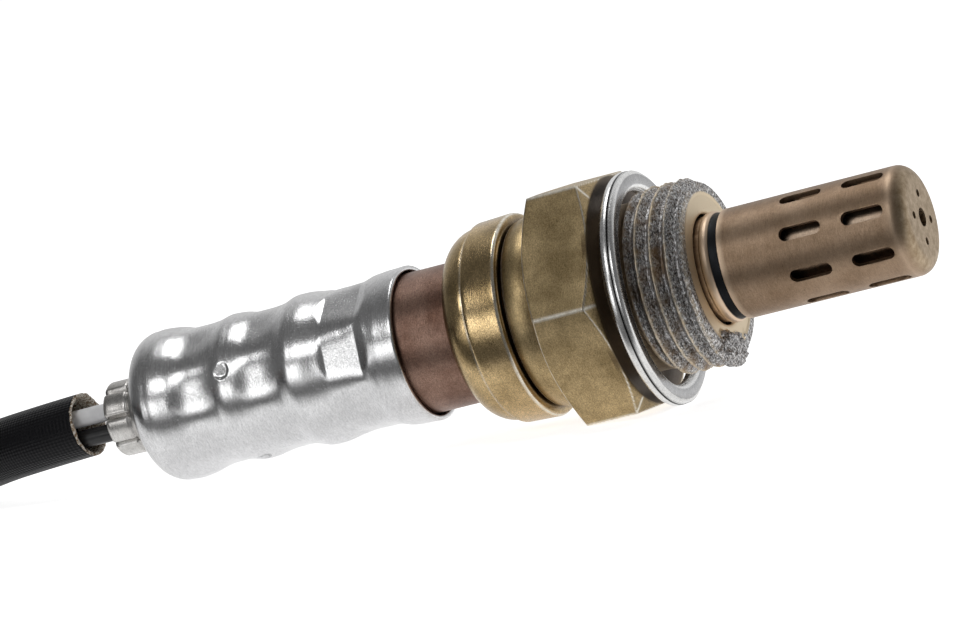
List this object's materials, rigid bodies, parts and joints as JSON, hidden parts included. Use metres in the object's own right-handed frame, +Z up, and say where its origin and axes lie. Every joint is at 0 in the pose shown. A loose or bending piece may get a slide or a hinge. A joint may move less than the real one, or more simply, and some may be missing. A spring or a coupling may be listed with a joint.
{
  "type": "oxygen sensor",
  "caption": "Heated exhaust oxygen sensor with a slotted steel tip, threaded hex shell, loose folded gasket, crimped silver cover and a short braided harness with its connector.",
  "frame": {"origin": "centre of the footprint of the sensor without its harness, on the surface that it lies on", "axes": "+X along the sensor towards its tip, which rises a little; +Z up"},
  "size_m": [0.1797, 0.0804, 0.0226],
  "materials": {
    "shell_steel": "olive-gold heat-tinted plating, worn bright at the edges",
    "gasket_steel": "bright folded sheet steel",
    "tip_steel": "bronze-brown heat-tinted stainless steel with fine turned grain",
    "inner_tube_steel": "dull heat-tinted stainless steel",
    "sleeve_steel": "reddish copper-brown heat-tinted steel",
    "cover_steel": "silver, fine satin grain",
    "ferrule_steel": "satin grey steel",
    "spring_steel": "plain spring steel",
    "element_ceramic": "matt zirconia",
    "insulator_ceramic": "matt alumina",
    "talc": "pressed powder",
    "contact_brass": "plain",
    "grommet_rubber": "matt black",
    "wire_white": "smooth white insulation",
    "wire_black": "smooth black insulation",
    "wire_grey": "smooth grey insulation",
    "braid": "close black braid",
    "connector_plastic": "moulded black plastic",
    "seal_rubber": "matt red-brown silicone"
  },
  "bodies": {
    "root": {"hex_shell": "shell_steel", "crush_gasket": "gasket_steel", "outer_protection_tube": "tip_steel", "inner_protection_tube": "inner_tube_steel", "sensing_element": "element_ceramic", "lower_insulator": "insulator_ceramic", "talc_seal": "talc", "upper_insulator": "insulator_ceramic", "disc_spring": "spring_steel", "rear_sleeve": "sleeve_steel", "outer_cover": "cover_steel", "crimp_ferrule": "ferrule_steel", "contact_carrier": "insulator_ceramic", "carrier_clip": "spring_steel", "grommet": "grommet_rubber", "contact_spring_1": "contact_brass", "contact_spring_2": "contact_brass", "contact_spring_3": "contact_brass", "contact_spring_4": "contact_brass", "heater_wire_1": "wire_white", "heater_wire_2": "wire_white", "ground_wire": "wire_grey", "signal_wire": "wire_black", "harness_sleeve": "braid", "harness_coil": "braid", "harness_tail": "braid", "connector_housing": "connector_plastic", "connector_lock": "connector_plastic", "connector_boot": "grommet_rubber", "nose_seal": "seal_rubber", "connector_terminals": "contact_brass"}
  },
  "joints": []
}
